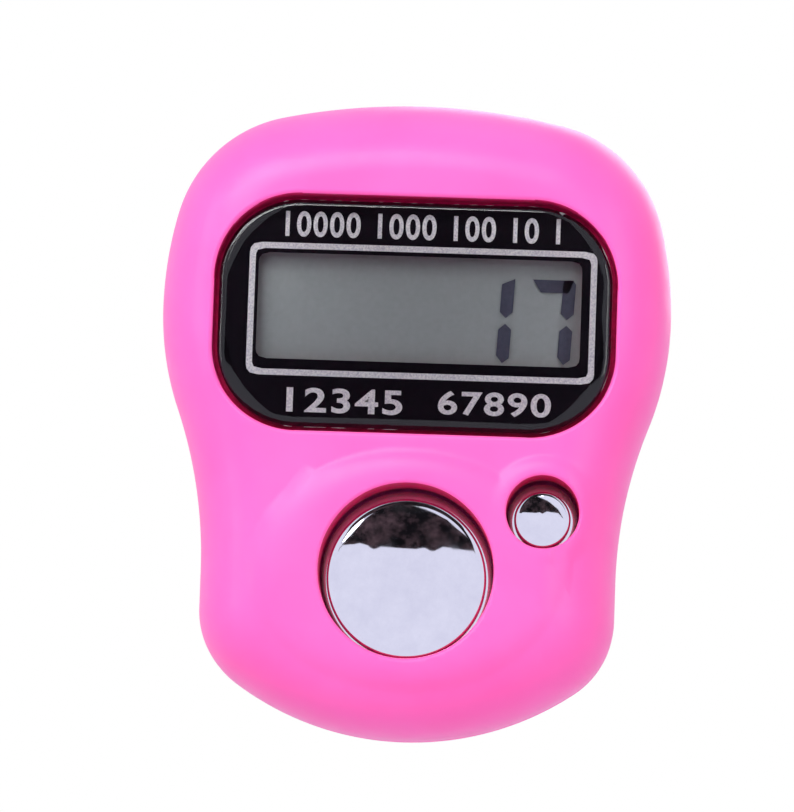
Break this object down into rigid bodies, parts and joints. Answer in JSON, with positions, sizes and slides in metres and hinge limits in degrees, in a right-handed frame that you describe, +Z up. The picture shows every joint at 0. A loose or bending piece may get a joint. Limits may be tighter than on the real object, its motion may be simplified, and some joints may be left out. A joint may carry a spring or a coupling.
{
  "type": "digital finger counter",
  "caption": "Digital tally counter worn on a finger: pink waisted case, black display window, chromed count and reset buttons, adjustable hinged band behind.",
  "frame": {"origin": "centre of the closed finger band, on the band's axis and halfway along its width", "axes": "+Z up the face of the case, -Y out of the face, +X to the right as the face is seen"},
  "size_m": [0.032, 0.0349, 0.04],
  "materials": {
    "pink_abs": "glossy injection-moulded ABS",
    "acrylic_lens": "polished clear acrylic, black print on its back",
    "foam_tape": "double-sided foam tape",
    "polariser_film": "grey-green polarising film",
    "display_glass": "thin clear glass",
    "white_plastic": "moulded, unpainted",
    "striped_rubber": "layered conductive rubber",
    "fibre_board": "glass fibre board with green lacquer",
    "black_epoxy": "cast epoxy",
    "brown_ceramic": "fired ceramic",
    "steel_cell_can": "nickel-plated pressed steel",
    "nickel_contact": "nickel-plated spring strip",
    "chromed_abs": "bright chrome plating on ABS",
    "clear_silicone": "moulded translucent silicone",
    "carbon_rubber": "carbon-filled silicone",
    "screw_steel": "zinc-plated steel",
    "soft_strap": "black soft PVC, fine moulded grain"
  },
  "bodies": {
    "root": {"front_shell": "pink_abs", "back_shell": "pink_abs", "battery_door": "pink_abs", "display_window": "acrylic_lens", "window_adhesive": "foam_tape", "lcd_front_polariser": "polariser_film", "lcd_front_glass": "display_glass", "lcd_rear_glass": "display_glass", "lcd_reflector": "polariser_film", "lcd_frame": "white_plastic", "zebra_strip": "striped_rubber", "circuit_board": "fibre_board", "driver_chip": "black_epoxy", "capacitor": "brown_ceramic", "resistor": "black_epoxy", "button_cell": "steel_cell_can", "battery_positive_contact": "nickel_contact", "battery_negative_contact": "nickel_contact", "count_rubber_dome": "clear_silicone", "reset_rubber_dome": "clear_silicone", "case_screw_top_left": "screw_steel", "case_screw_top_right": "screw_steel", "case_screw_bottom_left": "screw_steel", "case_screw_bottom_right": "screw_steel", "board_screw_left": "screw_steel", "board_screw_right": "screw_steel", "battery_door_screw": "screw_steel"},
    "count_button": {"count_button": "chromed_abs", "count_carbon_pill": "carbon_rubber"},
    "reset_button": {"reset_button": "chromed_abs", "reset_carbon_pill": "carbon_rubber"},
    "strap_stud_half": {"strap_stud_half": "soft_strap"},
    "strap_hole_half": {"strap_hole_half": "soft_strap"}
  },
  "joints": [
    {"name": "count_press", "type": "slide", "parent": "root", "child": "count_button", "axis": [0, 1, 0], "range_m": [0, 0.00085], "stiffness_N_per_m": 1000, "springref_m": -0.0005, "deforming": ["count_rubber_dome"]},
    {"name": "reset_press", "type": "slide", "parent": "root", "child": "reset_button", "axis": [0, 1, 0], "range_m": [0, 0.00085], "stiffness_N_per_m": 1000, "springref_m": -0.0005, "deforming": ["reset_rubber_dome"]},
    {"name": "stud_half_swing", "type": "hinge", "parent": "root", "child": "strap_stud_half", "pos_m": [-0.0108, -0.0078, 0], "axis": [0, 0, 1], "range_deg": [0, 80], "deforming": ["strap_stud_half"]},
    {"name": "hole_half_swing", "type": "hinge", "parent": "root", "child": "strap_hole_half", "pos_m": [0.0108, -0.0078, 0], "axis": [0, 0, -1], "range_deg": [0, 80], "deforming": ["strap_hole_half"]}
  ]
}
